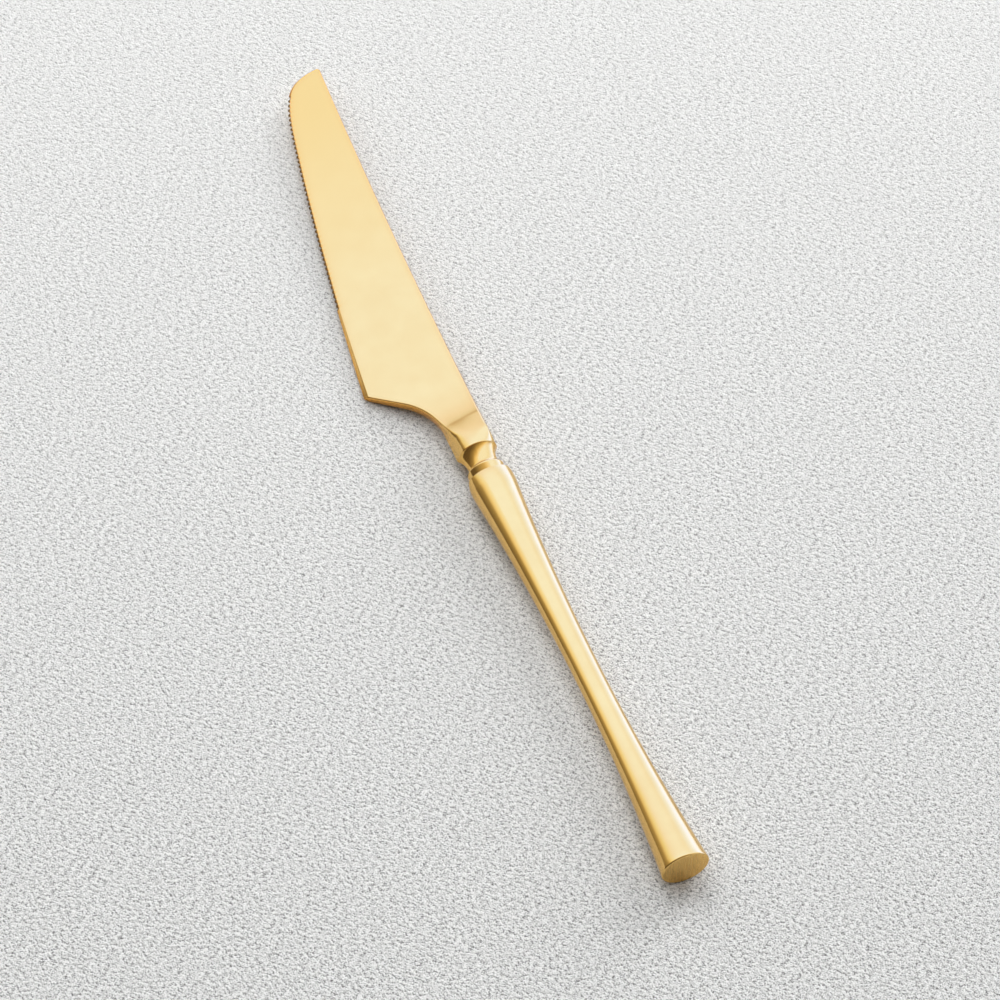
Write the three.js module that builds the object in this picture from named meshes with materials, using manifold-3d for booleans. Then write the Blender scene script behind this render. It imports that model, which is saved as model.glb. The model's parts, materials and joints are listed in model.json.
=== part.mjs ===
// Salad knife with a serrated blade, a turned neck and a hollow hourglass handle of oval section.
// Each piece is modelled in the knife's own frame, in millimetres: X runs from the flat butt to the tip,
// Y points from the spine to the cutting edge, Z stands square to the blade. The assembled knife is then
// laid down the way it lies on a table: on the butt, the handle's front shoulder and the blade's heel.
import * as THREE from 'three';
import { mergeVertices } from 'three/addons/utils/BufferGeometryUtils.js';
import Module from 'manifold-3d';

// Handle shell
const HANDLE_LENGTH = 101.4;
const BUTT_WIDTH = 9.42;
const WAIST_WIDTH = 5.3;
const WAIST_FROM_BUTT = 49.5;
const FRONT_WIDTH = 8.95;
const RIM_WIDTH = 7.9;
const SHOULDER_LENGTH = 3.6;
const OVAL_RATIO = 0.776;
const SHELL_WALL = 0.7;

// Pieces that close the shell, and the cement inside it
const CAP_THICKNESS = 1.6;
const COLLAR_LENGTH = 1.1;
const COLLAR_WIDTH = 7.3;
const COLLAR_ROUND = 0.25;
const REGISTER_LENGTH = 2.5;

// Tang
const TANG_LENGTH = 34;
const TANG_WIDTH = 3.6;
const TANG_END_WIDTH = 2;
const TANG_THICKNESS = 1.6;
const TANG_ROOT = 2;
const TANG_NOTCH_COUNT = 3;
const TANG_NOTCH_PITCH = 7;
const TANG_NOTCH_DEPTH = 0.4;

// Neck: cove, lip and the ramp down to the blade
const COVE_LENGTH = 4.2;
const COVE_BOTTOM_FROM_LIP = 2.7;
const COVE_WIDTH = 6.2;
const COVE_END_WIDTH = 6.7;
const LIP_WIDTH = 8;
const LIP_LAND = 0.35;
const RAMP_LENGTH = 8.2;
const RAMP_CROWN = 1.4;

// Blade outline
const LIP_TO_TIP = 102.5;
const LIP_TO_HEEL = 22.7;
const HEEL_OFFSET = 14.55;
const STEP_ANGLE = THREE.MathUtils.degToRad(48);
const STEP_RADIUS = 14;
const HEEL_EDGE_ANGLE = THREE.MathUtils.degToRad(7);
const NOSE_EDGE_ANGLE = THREE.MathUtils.degToRad(10.2);
const NOSE_LENGTH = 22.5;
const NOSE_OFFSET = 6.25;
const NOSE_FULLNESS = 17;
const TIP_FULLNESS = 8;
const TIP_FLAT = 0.5;
const SPINE_STRAIGHT = 8;
const SPINE_SWEEP = 2.25;

// Blade thickness and edges
const NECK_THICKNESS = 2.6;
const HEEL_THICKNESS = 1.7;
const TIP_THICKNESS = 0.8;
const EDGE_BREAK = 0.2;
const EDGE_LAND = 0.1;
const HEEL_BEVEL = 0.88;
const TOOTH_BEVEL = 0.42;
const BEVEL_SHARE_LIMIT = 0.5;
const EDGE_BREAK_SHARE_LIMIT = 0.25;

// Serration between the plain stretches at the heel and at the tip, all measured along the cutting edge
const PLAIN_EDGE_LENGTH = 22.5;
const PLAIN_TIP_LENGTH = 8.2;
const TOOTH_PITCH = 1.2;
const TOOTH_LAND = 0.36;
const TOOTH_ROOT = 0.3;
const TOOTH_DEPTH = 0.42;

// Rounds of substitution that settle the lying pose
const SETTLING_ROUNDS = 30;

// Clearance between neighbouring pieces
const FIT_GAP = 0.2;

// Facets
const HALF_OVAL_POINTS = 12;
const HANDLE_STATIONS = 16;
const ARC_STATIONS = 6;
const CURVE_STATIONS = 12;
const RAMP_STATIONS = 8;
const HEEL_STATIONS = 3;
const LEAST_STATION_STEP = 0.05;

// Places along the knife that follow from the lengths above
const collarBack = HANDLE_LENGTH + FIT_GAP;
const collarFront = collarBack + COLLAR_LENGTH;
const coveBack = collarFront + FIT_GAP;
const lipX = coveBack + COVE_LENGTH;
const rampX = lipX + LIP_LAND;
const plungeX = rampX + RAMP_LENGTH;
const heelX = lipX + LIP_TO_HEEL;
const tipX = lipX + LIP_TO_TIP;
const noseX = tipX - NOSE_LENGTH;
const spineBendX = lipX + SPINE_STRAIGHT;
const shoulderX = HANDLE_LENGTH - SHOULDER_LENGTH;
const registerBack = HANDLE_LENGTH - REGISTER_LENGTH;
const neckHalf = LIP_WIDTH / 2;

const wasm = await Module();
wasm.setup();

// Closed solid of a geometry: shared corners merged, triangles that collapse in the merge left out.
function solidOf(geometry) {
  const bare = geometry.clone();
  bare.deleteAttribute('normal');
  bare.deleteAttribute('uv');
  const merged = mergeVertices(bare);
  const corners = Array.from(merged.index.array);
  const triangles = [];
  for (let i = 0; i < corners.length; i += 3) {
    const [a, b, c] = corners.slice(i, i + 3);
    if (a !== b && b !== c && c !== a) triangles.push(a, b, c);
  }
  return new wasm.Manifold(new wasm.Mesh({
    numProp: 3,
    vertProperties: new Float32Array(merged.attributes.position.array),
    triVerts: new Uint32Array(triangles),
  }));
}

function geometryOf(solid) {
  const mesh = solid.getMesh();
  const geometry = new THREE.BufferGeometry();
  geometry.setAttribute('position', new THREE.BufferAttribute(mesh.vertProperties, 3));
  geometry.setIndex(new THREE.BufferAttribute(mesh.triVerts, 1));
  return geometry;
}

// Skin over a row of closed outlines along X. Every outline has the same number of points and turns
// from +Y over the top to -Y, so the skin and the two flat ends face outwards.
function loft(rings) {
  const count = rings[0].length;
  const index = [];
  for (let k = 0; k + 1 < rings.length; k += 1) {
    for (let i = 0; i < count; i += 1) {
      const a = k * count + i;
      const b = k * count + ((i + 1) % count);
      index.push(a, b, a + count, b, b + count, a + count);
    }
  }
  const flat = (ring) => ring.map((p) => new THREE.Vector2(p.y, p.z));
  const cap = (ring) => THREE.ShapeUtils.triangulateShape(flat(ring), []);
  const last = (rings.length - 1) * count;
  for (const [a, b, c] of cap(rings[0])) index.push(a, c, b);
  for (const [a, b, c] of cap(rings.at(-1))) index.push(last + a, last + b, last + c);
  const geometry = new THREE.BufferGeometry().setFromPoints(rings.flat());
  geometry.setIndex(index);
  geometry.computeVertexNormals();
  return geometry;
}

// Oval outline square to X, or its upper half with a start lifted off the middle plane.
function halfOval(x, halfWidth, halfHeight, lift = 0, points = HALF_OVAL_POINTS) {
  const start = Math.asin(lift / halfHeight);
  return Array.from({ length: points }, (_, i) => {
    const angle = start + ((Math.PI - 2 * start) * i) / (points - 1);
    return new THREE.Vector3(x, halfWidth * Math.cos(angle), halfHeight * Math.sin(angle));
  });
}

function oval(x, halfWidth, halfHeight) {
  return Array.from({ length: 2 * HALF_OVAL_POINTS }, (_, i) => {
    const angle = ((i + 0.5) * Math.PI) / HALF_OVAL_POINTS;
    return new THREE.Vector3(x, halfWidth * Math.cos(angle), halfHeight * Math.sin(angle));
  });
}

// Handle profile: two arcs that meet at the waist, then the rounded shoulder at the front.
function bodyHalfWidth(x) {
  const behind = x < WAIST_FROM_BUTT;
  const endWidth = behind ? BUTT_WIDTH : FRONT_WIDTH;
  const reach = behind ? WAIST_FROM_BUTT : shoulderX - WAIST_FROM_BUTT;
  const rise = (endWidth - WAIST_WIDTH) / 2;
  const radius = (reach * reach + rise * rise) / (2 * rise);
  const away = Math.min(Math.abs(x - WAIST_FROM_BUTT), reach);
  return WAIST_WIDTH / 2 + radius - Math.sqrt(radius * radius - away * away);
}

function outerHalfWidth(x) {
  const along = THREE.MathUtils.clamp((x - shoulderX) / SHOULDER_LENGTH, 0, 1);
  const drop = (FRONT_WIDTH - RIM_WIDTH) / 2;
  return bodyHalfWidth(x) - drop * (1 - Math.sqrt(1 - along * along));
}

// Half width and half height of the hollow, less a clearance for what sits in it. The shell is sheet
// metal, so its inside follows its outside, in at the shoulder too.
function hollow(x, gap = 0) {
  const outer = outerHalfWidth(x);
  return [outer - SHELL_WALL - gap, OVAL_RATIO * outer - SHELL_WALL - gap];
}

function evenly(from, to, steps) {
  return Array.from({ length: steps + 1 }, (_, i) => from + ((to - from) * i) / steps);
}

// Stations along a quarter round, close together where it turns most.
function rounding(from, to, steps) {
  return evenly(0, Math.PI / 2, steps).map((angle) => from + (to - from) * Math.sin(angle));
}

function shellHalf() {
  const body = evenly(0, shoulderX, HANDLE_STATIONS);
  const shoulder = rounding(shoulderX, HANDLE_LENGTH, ARC_STATIONS).slice(1);
  const lift = FIT_GAP / 2;
  return loft([...body, ...shoulder].map((x) => {
    const outer = outerHalfWidth(x);
    const [innerHalf, innerHeight] = hollow(x);
    const outside = halfOval(x, outer, OVAL_RATIO * outer, lift);
    const inside = halfOval(x, innerHalf, innerHeight, lift).reverse();
    return [...outside, ...inside];
  }));
}

function endCap() {
  return loft([0, CAP_THICKNESS].map((x) => oval(x, ...hollow(CAP_THICKNESS, FIT_GAP))));
}

// Flat tang outline from its tip to its root, with V notches in both sides that key it into the cement.
function tangShape(clearance) {
  const end = coveBack - TANG_LENGTH;
  const root = coveBack + TANG_ROOT;
  const halfAt = (x) => {
    const along = (Math.min(x, coveBack) - end) / TANG_LENGTH;
    return (TANG_END_WIDTH + (TANG_WIDTH - TANG_END_WIDTH) * along) / 2 + clearance;
  };
  const side = [[end - clearance, halfAt(end)]];
  for (let i = 1; i <= TANG_NOTCH_COUNT; i += 1) {
    const x = end + i * TANG_NOTCH_PITCH;
    side.push([x - TANG_NOTCH_DEPTH, halfAt(x)]);
    side.push([x, halfAt(x) - TANG_NOTCH_DEPTH]);
    side.push([x + TANG_NOTCH_DEPTH, halfAt(x)]);
  }
  side.push([root, halfAt(root)]);
  const mirrored = side.map(([x, y]) => [x, -y]);
  return new THREE.Shape([...mirrored, ...side.reverse()].map(([x, y]) => new THREE.Vector2(x, y)));
}

function tang(clearance = 0) {
  const depth = TANG_THICKNESS + 2 * clearance;
  const bar = new THREE.ExtrudeGeometry(tangShape(clearance), { depth, bevelEnabled: false });
  return bar.translate(0, 0, -depth / 2);
}

// Bead that shows between the neck and the handle, on a register that fills the shell's front opening.
function collarRing() {
  const beadHalf = COLLAR_WIDTH / 2;
  const [registerHalf, registerHeight] = hollow(HANDLE_LENGTH, FIT_GAP);
  const bead = evenly(0, Math.PI, ARC_STATIONS).map((angle) => {
    const half = beadHalf - COLLAR_ROUND * (1 - Math.sin(angle));
    const x = (collarBack + collarFront) / 2 - (COLLAR_LENGTH / 2) * Math.cos(angle);
    return oval(x, half, OVAL_RATIO * half);
  });
  const register = [registerBack, collarBack].map((x) => oval(x, registerHalf, registerHeight));
  const body = solidOf(loft(register)).add(solidOf(loft(bead)));
  return geometryOf(body.subtract(solidOf(tang(FIT_GAP))));
}

function cement() {
  const stations = evenly(CAP_THICKNESS + FIT_GAP, registerBack - FIT_GAP, HANDLE_STATIONS);
  const filling = solidOf(loft(stations.map((x) => oval(x, ...hollow(x, FIT_GAP)))));
  return geometryOf(filling.subtract(solidOf(tang(FIT_GAP))));
}

// Spine: straight behind, then one long arc out to the tip.
function spineY(x) {
  const reach = tipX - spineBendX;
  const radius = (reach * reach + SPINE_SWEEP * SPINE_SWEEP) / (2 * SPINE_SWEEP);
  const along = Math.max(0, x - spineBendX);
  return -neckHalf - (radius - Math.sqrt(radius * radius - along * along));
}

// Cutting edge: a shallow curve from the heel, then the nose that rounds up to the tip.
function cuttingEdge() {
  const heel = new THREE.Vector2(heelX, HEEL_OFFSET);
  const nose = new THREE.Vector2(noseX, NOSE_OFFSET);
  const heelSlope = Math.tan(HEEL_EDGE_ANGLE);
  const noseSlope = Math.tan(NOSE_EDGE_ANGLE);
  const meetX = (heel.y - nose.y + heelSlope * heel.x - noseSlope * nose.x) / (heelSlope - noseSlope);
  const meet = new THREE.Vector2(meetX, heel.y - heelSlope * (meetX - heel.x));
  const tip = new THREE.Vector2(tipX, spineY(tipX) + TIP_FLAT);
  const noseFull = new THREE.Vector2(noseX + NOSE_FULLNESS, NOSE_OFFSET - noseSlope * NOSE_FULLNESS);
  const tipFull = new THREE.Vector2(tipX, tip.y + TIP_FULLNESS);
  const path = new THREE.CurvePath();
  path.add(new THREE.QuadraticBezierCurve(heel, meet, nose));
  path.add(new THREE.CubicBezierCurve(nose, noseFull, tipFull, tip));
  return path;
}

// Whole outline on the cutting-edge side: neck, hollow sweep into the heel step, cutting edge.
function edgeOutline() {
  const rise = STEP_RADIUS * (1 - Math.cos(STEP_ANGLE));
  const straight = (HEEL_OFFSET - neckHalf - rise) / Math.tan(STEP_ANGLE);
  const sweepX = heelX - straight - STEP_RADIUS * Math.sin(STEP_ANGLE);
  const side = new THREE.Path();
  side.moveTo(coveBack, neckHalf);
  side.lineTo(sweepX, neckHalf);
  const down = -Math.PI / 2;
  side.absarc(sweepX, neckHalf + STEP_RADIUS, STEP_RADIUS, down, down + STEP_ANGLE, false);
  side.lineTo(heelX, HEEL_OFFSET);
  return [...side.getPoints(ARC_STATIONS), ...cuttingEdge().getPoints(CURVE_STATIONS).slice(1)];
}

function blade() {
  const outline = edgeOutline();
  const edgeY = (x) => {
    const next = Math.max(1, outline.findIndex((p) => p.x >= x));
    const [from, to] = [outline[next - 1], outline[next]];
    return THREE.MathUtils.mapLinear(x, from.x, to.x, from.y, to.y);
  };

  // Both sides of the blade are flat: half the thickness falls evenly from the neck to heel and tip.
  const side = new THREE.Plane().setFromCoplanarPoints(
    new THREE.Vector3(plungeX, -neckHalf, NECK_THICKNESS / 2),
    new THREE.Vector3(tipX, spineY(tipX), TIP_THICKNESS / 2),
    new THREE.Vector3(heelX, HEEL_OFFSET, HEEL_THICKNESS / 2),
  );
  const half = (x, y) => -(side.normal.x * x + side.normal.y * y + side.constant) / side.normal.z;
  const serrationX = heelX + PLAIN_EDGE_LENGTH;
  const bevelAt = (x) => {
    const along = THREE.MathUtils.clamp((x - heelX) / (serrationX - heelX), 0, 1);
    return THREE.MathUtils.lerp(HEEL_BEVEL, TOOTH_BEVEL, along);
  };

  // Upper half of the section at x, from the cutting edge over the face to the spine. It has as many
  // points as half the oval.
  const facePoints = HALF_OVAL_POINTS - 2;
  const flatSection = (x) => {
    const y = edgeY(x);
    const spine = spineY(x);
    const sharpY = x < heelX ? HEEL_OFFSET + (heelX - x) * Math.tan(HEEL_EDGE_ANGLE) : y;
    const width = y - spine;
    const bevel = Math.min(bevelAt(x), BEVEL_SHARE_LIMIT * width);
    const eased = Math.min(EDGE_BREAK, EDGE_BREAK_SHARE_LIMIT * width);
    const bevelY = Math.min(sharpY - bevel, y - eased);
    const bevelHalf = half(x, bevelY);
    const rise = (bevelHalf * (sharpY - y)) / bevel;
    const edgeHalf = Math.max(EDGE_LAND / 2, Math.min(bevelHalf - eased, rise));
    const face = evenly(bevelY, spine + eased, facePoints - 1);
    return [[y, edgeHalf], ...face.map((at) => [at, half(x, at)]), [spine, half(x, spine) - eased]];
  };

  // Neck section: the blade's flat section drawn over into the lip's oval.
  const section = (x) => {
    const along = THREE.MathUtils.clamp((x - rampX) / RAMP_LENGTH, 0, 1);
    const swell = 1 - along ** RAMP_CROWN;
    const round = oval(x, neckHalf, OVAL_RATIO * neckHalf);
    const upper = flatSection(x).map(([y, z], i) => new THREE.Vector3(
      x,
      THREE.MathUtils.lerp(y, round[i].y, swell),
      THREE.MathUtils.lerp(z, round[i].z, swell),
    ));
    const lower = upper.map((p) => new THREE.Vector3(x, p.y, -p.z)).reverse();
    return [...upper, ...lower];
  };

  // Cove: a quarter round under the lip, and a flatter one out to the shoulder at the collar.
  const bottomX = lipX - COVE_BOTTOM_FROM_LIP;
  const deep = (LIP_WIDTH - COVE_WIDTH) / 2;
  const flare = (COVE_END_WIDTH - COVE_WIDTH) / 2;
  const backArc = evenly(Math.PI / 2, 0, ARC_STATIONS).map((angle) => [
    bottomX - (bottomX - coveBack) * Math.sin(angle),
    COVE_WIDTH / 2 + flare * (1 - Math.cos(angle)),
  ]);
  const frontArc = evenly(Math.PI / 2, 0, ARC_STATIONS).map((angle) => [
    bottomX + COVE_BOTTOM_FROM_LIP * Math.cos(angle),
    neckHalf - deep * Math.sin(angle),
  ]);
  const cove = [...backArc, ...frontArc.slice(1)].map(([x, r]) => oval(x, r, OVAL_RATIO * r));

  const heelStations = evenly(heelX - HEEL_BEVEL, heelX, HEEL_STATIONS);
  const wanted = [
    ...evenly(rampX, plungeX, RAMP_STATIONS),
    ...heelStations,
    ...outline.map((p) => p.x).filter((x) => x > plungeX),
  ].sort((a, b) => a - b);
  const stations = wanted.filter((x, i) => i === 0 || x - wanted[i - 1] > LEAST_STATION_STEP);
  const forging = solidOf(loft([...cove, ...stations.map(section)])).add(solidOf(tang()));
  return geometryOf(cutTeeth(forging));
}

// Serration: one notch through the bevel at every pitch along the cutting edge.
function cutTeeth(forging) {
  const edge = cuttingEdge();
  const length = edge.getLength();
  const depth = 2 * HEEL_THICKNESS;
  const mouth = TOOTH_PITCH - TOOTH_LAND;
  const notch = new THREE.Shape([
    new THREE.Vector2(-TOOTH_ROOT / 2, TOOTH_DEPTH),
    new THREE.Vector2(TOOTH_ROOT / 2, TOOTH_DEPTH),
    new THREE.Vector2(mouth / 2, 0),
    new THREE.Vector2(mouth / 2, -TOOTH_DEPTH),
    new THREE.Vector2(-mouth / 2, -TOOTH_DEPTH),
    new THREE.Vector2(-mouth / 2, 0),
  ]);
  const count = Math.floor((length - PLAIN_EDGE_LENGTH - PLAIN_TIP_LENGTH) / TOOTH_PITCH);
  let serrated = forging;
  for (let i = 0; i < count; i += 1) {
    const at = (PLAIN_EDGE_LENGTH + (i + 0.5) * TOOTH_PITCH) / length;
    const place = edge.getPointAt(at);
    const along = edge.getTangentAt(at);
    const cutter = new THREE.ExtrudeGeometry(notch, { depth, bevelEnabled: false });
    cutter.translate(0, 0, -depth / 2);
    cutter.rotateZ(Math.atan2(along.y, along.x) + Math.PI);
    cutter.translate(place.x, place.y, 0);
    serrated = serrated.subtract(solidOf(cutter));
  }
  return serrated;
}

const GOLD = { color: 0xe2bd72, roughness: 0.34, metalness: 1 };
const CEMENT = { color: 0xb8b0a2, roughness: 0.9, metalness: 0 };

function piece(name, geometry, look) {
  const mesh = new THREE.Mesh(geometry, new THREE.MeshStandardMaterial(look));
  mesh.name = name;
  return mesh;
}

// Height of an oval's centre over the table when the knife is rolled about its length.
function restHeight(width, roll) {
  return Math.hypot((width / 2) * Math.sin(roll), OVAL_RATIO * (width / 2) * Math.cos(roll));
}

// Roll and pitch at which butt, shoulder and heel all touch the table, found by repeated substitution.
function restingTurn() {
  const heelY = HEEL_OFFSET - HEEL_BEVEL;
  let roll = 0;
  let pitch = 0;
  for (let i = 0; i < SETTLING_ROUNDS; i += 1) {
    const butt = restHeight(BUTT_WIDTH, roll);
    pitch = Math.atan2(restHeight(FRONT_WIDTH, roll) - butt, shoulderX);
    const heel = butt + heelX * Math.tan(pitch);
    roll = Math.asin((heel - (HEEL_THICKNESS / 2) * Math.cos(roll)) / heelY);
  }
  return { roll, pitch };
}

const knife = new THREE.Group();
const lowerShell = piece('handle_shell_lower', shellHalf(), GOLD);
lowerShell.rotation.x = Math.PI;
knife.add(
  piece('blade', blade(), GOLD),
  piece('collar_ring', collarRing(), GOLD),
  piece('handle_shell_upper', shellHalf(), GOLD),
  lowerShell,
  piece('end_cap', endCap(), GOLD),
  piece('handle_cement', cement(), CEMENT),
);

const { roll, pitch } = restingTurn();
knife.rotation.x = -roll;
const laid = new THREE.Group();
laid.rotation.y = -pitch;
laid.add(knife);

// Origin under the middle of the laid knife, on the table.
const box = new THREE.Box3().setFromObject(laid, true);
const middle = box.getCenter(new THREE.Vector3());
laid.position.set(-middle.x, -middle.y, -box.min.z);

export default laid;
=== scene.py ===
# %% [markdown]
# # A salad knife in satin gold
# The real knife is a hollow-handle table knife: a forged blade with a turned neck, a bead, a handle
# pressed as two half shells, and a flat plate in the butt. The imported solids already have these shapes,
# with few faces. This lesson replaces each piece that shows by a finer surface of nearly the same size,
# worked out with numpy, then gives it a finish, a floor, soft light and the photograph's camera.

# %% Load the frame
import json
import math

import bpy
import numpy as np
from mathutils import Matrix


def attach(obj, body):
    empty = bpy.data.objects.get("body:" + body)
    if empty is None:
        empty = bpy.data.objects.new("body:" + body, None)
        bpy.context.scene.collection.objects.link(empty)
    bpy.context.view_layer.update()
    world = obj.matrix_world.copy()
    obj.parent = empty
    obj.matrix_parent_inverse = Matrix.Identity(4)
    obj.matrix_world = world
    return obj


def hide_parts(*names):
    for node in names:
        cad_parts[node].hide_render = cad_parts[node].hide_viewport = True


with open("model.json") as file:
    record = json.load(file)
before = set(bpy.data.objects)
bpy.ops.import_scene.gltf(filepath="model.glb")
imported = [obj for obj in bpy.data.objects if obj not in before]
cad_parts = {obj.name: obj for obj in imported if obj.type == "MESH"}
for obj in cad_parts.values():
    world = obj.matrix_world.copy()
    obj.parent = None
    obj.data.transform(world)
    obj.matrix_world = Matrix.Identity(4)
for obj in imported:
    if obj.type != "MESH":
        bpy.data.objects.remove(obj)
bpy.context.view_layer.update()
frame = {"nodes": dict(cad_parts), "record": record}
print("nodes:", sorted(frame["nodes"]))

# %% [markdown]
# ## The knife's own frame
# The knife lies rolled on its side, on the butt, the shoulder and the heel. Turning finished objects
# would upset patterns and the export, so the turn goes into the points instead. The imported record
# gives it: the butt's face tells where the knife starts and which way it runs, and the two flat sides
# of the blade tell which way is square to it. All sizes below are millimetres in that frame: x from the
# butt to the tip, y from the spine to the cutting edge, z square to the blade.

# %% Knife frame from the record's mounts
MM = 0.001


def unit(vector):
    """The vector divided by its length."""
    return vector / np.linalg.norm(vector)


mounts = {mount["name"]: mount for mount in frame["record"]["mounts"]}
butt_point = np.array(mounts["butt_face"]["pos_m"])
along_knife = unit(-np.array(mounts["butt_face"]["axis"]))
square_up = np.array(mounts["blade_upper_flat"]["axis"]) - np.array(mounts["blade_lower_flat"]["axis"])
towards_edge = unit(np.cross(square_up, along_knife))
square_up = np.cross(along_knife, towards_edge)


def lay_down(x, y, z):
    """Points of the table's frame in metres: butt + x along the knife + y towards the edge + z up from
    the blade, for arrays of x, y, z in millimetres."""
    steps = np.stack(np.broadcast_arrays(x, y, z), axis=-1) * MM
    return butt_point + steps @ np.stack([along_knife, towards_edge, square_up])


print("roll of the knife, degrees:", round(math.degrees(math.asin(-towards_edge[2])), 2))

# %% [markdown]
# ## One skin for every piece
# Each piece is a row of closed rings, like the ribs of a boat, with a skin of quads over them. A ring
# goes over the top and comes back underneath, point for point, so the two ends can be closed by a
# ladder of quads between each upper point and its partner below. That leaves no poles and no gaps, and
# the same maker serves the shells, the bead, the plate and the blade.

# %% Skin maker
SHARP_ANGLE = math.radians(38)


def skin(name, points):
    """Closed mesh over points[k, i]: ring k along the knife, point i round it. A quad joins each point
    to its neighbours on the ring and on the next ring. Ladder quads (i, i+1 and their partners, counted
    from the ring's other end) close the first and the last ring."""
    rings, around, _ = points.shape
    at = np.arange(rings * around).reshape(rings, around)
    beside = np.roll(at, -1, axis=1)
    side = np.stack([at[:-1], beside[:-1], beside[1:], at[1:]], axis=-1).reshape(-1, 4)
    half = around // 2
    near, far = np.arange(half - 1), around - 1 - np.arange(half - 1)
    ladder = np.stack([near, near + 1, far - 1, far], axis=-1)
    faces = np.concatenate([side, ladder[:, ::-1], at[-1][ladder]])
    mesh = bpy.data.meshes.new(name)
    mesh.from_pydata(points.reshape(-1, 3), [], faces)
    mesh.shade_smooth()
    mesh.set_sharp_from_angle(angle=SHARP_ANGLE)
    mesh.validate()
    piece = bpy.data.objects.new(name, mesh)
    bpy.context.scene.collection.objects.link(piece)
    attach(piece, "root")
    print(name, "rings", rings, "points round", around, "quads", len(faces))
    return piece


# %% [markdown]
# ## Handle profile
# Seen from above the handle is an hourglass: two long arcs that meet at the waist, a rounded shoulder
# at the front and a crisp, just broken edge at the butt. Every section is the same oval; the shoulder
# only takes off its sides, so that the top stays nearly level up to a crisp front rim. A lathe-like
# profile with two arcs gives exactly that and stays easy to read.

# %% Handle profile
OVAL_RATIO = 0.776
HANDLE_LENGTH = 100.5
BUTT_WIDTH, WAIST_WIDTH, FRONT_WIDTH, RIM_WIDTH = 9.42, 5.3, 8.95, 8.3
WAIST_AT = 49.5
SHOULDER_LENGTH, SHOULDER_DROP, SHOULDER_POWER, SHOULDER_SOFT = 2.7, 0.12, 3.0, 0.5
SHELL_WALL = 0.7
BUTT_ROUND = 0.3
TINY = 1e-6
SHOULDER_AT = HANDLE_LENGTH - SHOULDER_LENGTH


def quarter(steps):
    """Angles from 0 to a right angle in even steps."""
    return np.linspace(0, np.pi / 2, steps)


def round_lowest(a, b, size):
    """Lower of two values, with the crossing rounded off over about the given size."""
    mix = np.clip(0.5 + (b - a) / (2 * size), 0, 1)
    return b + (a - b) * mix - size * mix * (1 - mix)


def body_half_width(x):
    """Half width of the plain hourglass: half the waist plus radius minus the square root of radius
    squared minus the distance from the waist squared, with one radius behind the waist, one before."""
    end = np.where(x < WAIST_AT, BUTT_WIDTH, FRONT_WIDTH)
    reach = np.where(x < WAIST_AT, WAIST_AT, SHOULDER_AT - WAIST_AT)
    rise = (end - WAIST_WIDTH) / 2
    radius = (reach**2 + rise**2) / (2 * rise)
    away = np.minimum(np.abs(x - WAIST_AT), reach)
    return WAIST_WIDTH / 2 + radius - np.sqrt(radius**2 - away**2)


def shoulder_share(x):
    """Round of the shoulder: a power of the share of its length, so that it ends in a crisp rim."""
    return np.clip((x - SHOULDER_AT) / SHOULDER_LENGTH, 0, 1) ** SHOULDER_POWER


def outer_half_width(x):
    """Hourglass less the shoulder's round in plan."""
    return body_half_width(x) - (FRONT_WIDTH - RIM_WIDTH) / 2 * shoulder_share(x)


def outer_half_height(x):
    """Hourglass times the oval's ratio, less a shallow shoulder: the top stays nearly level to the rim."""
    return OVAL_RATIO * body_half_width(x) - SHOULDER_DROP * shoulder_share(x)


def butt_inset(x):
    """How far the broken edge at the butt stands in: a quarter round at the very end."""
    share = np.clip(1 - x / BUTT_ROUND, 0, 1)
    return BUTT_ROUND * (1 - np.sqrt(1 - share**2))


print("half widths at butt, waist, shoulder:", body_half_width(np.array([0, WAIST_AT, SHOULDER_AT])))

# %% [markdown]
# ## Two half shells
# The handle is two pressed halves welded along both sides and ground flush, so the seam is a hairline
# that hardly shows. Each ring goes over the outside of the half oval and back along the inside, a wall
# thickness below. At the shoulder the outside is cut narrower in plan, with a soft corner to the top. The
# lower half is the upper one turned over about the knife's length.

# %% Half shells
SEAM_HALF = 0.002
SHELL_POINTS = 64
BUTT_STATIONS, BODY_STATIONS, SHOULDER_STATIONS = 8, 90, 30


def half_oval(width, height, lift, points):
    """Upper half of an oval from one side over the top to the other: width times cosine, height times
    sine, with the ends lifted off the middle plane."""
    start = np.arcsin(lift / height)[:, None]
    angle = start + (np.pi - 2 * start) * np.linspace(0, 1, points)[None, :]
    return width[:, None] * np.cos(angle), height[:, None] * np.sin(angle)


stations = np.concatenate([
    BUTT_ROUND * (1 - np.cos(quarter(BUTT_STATIONS))),
    np.linspace(BUTT_ROUND, SHOULDER_AT, BODY_STATIONS)[1:],
    np.linspace(SHOULDER_AT, HANDLE_LENGTH, SHOULDER_STATIONS)[1:],
])
width, height = outer_half_width(stations), outer_half_height(stations)
inset = butt_inset(stations)
out_y, out_z = half_oval(body_half_width(stations) - inset, height - inset, SEAM_HALF, SHELL_POINTS)
corner = (SHOULDER_SOFT * shoulder_share(stations) + TINY)[:, None]
out_y = np.sign(out_y) * round_lowest(np.abs(out_y), (width - inset)[:, None], corner)
in_y, in_z = half_oval(width - SHELL_WALL, height - SHELL_WALL, SEAM_HALF, SHELL_POINTS)
shell_y = np.concatenate([out_y, in_y[:, ::-1]], axis=1)
shell_z = np.concatenate([out_z, in_z[:, ::-1]], axis=1)
upper_shell = skin("shell_upper", lay_down(stations[:, None], shell_y, shell_z))
lower_shell = skin("shell_lower", lay_down(stations[:, None], -shell_y, -shell_z))
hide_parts("handle_shell_upper")
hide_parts("handle_shell_lower")

# %% [markdown]
# ## Butt plate
# The butt is closed by a flat oval plate, let in, welded and ground flush with the rim, so that the
# joint is gone from sight. It is the shortest loft of all: two ovals, a plate's thickness apart, with
# a hair of room to the wall of the shells.

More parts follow.
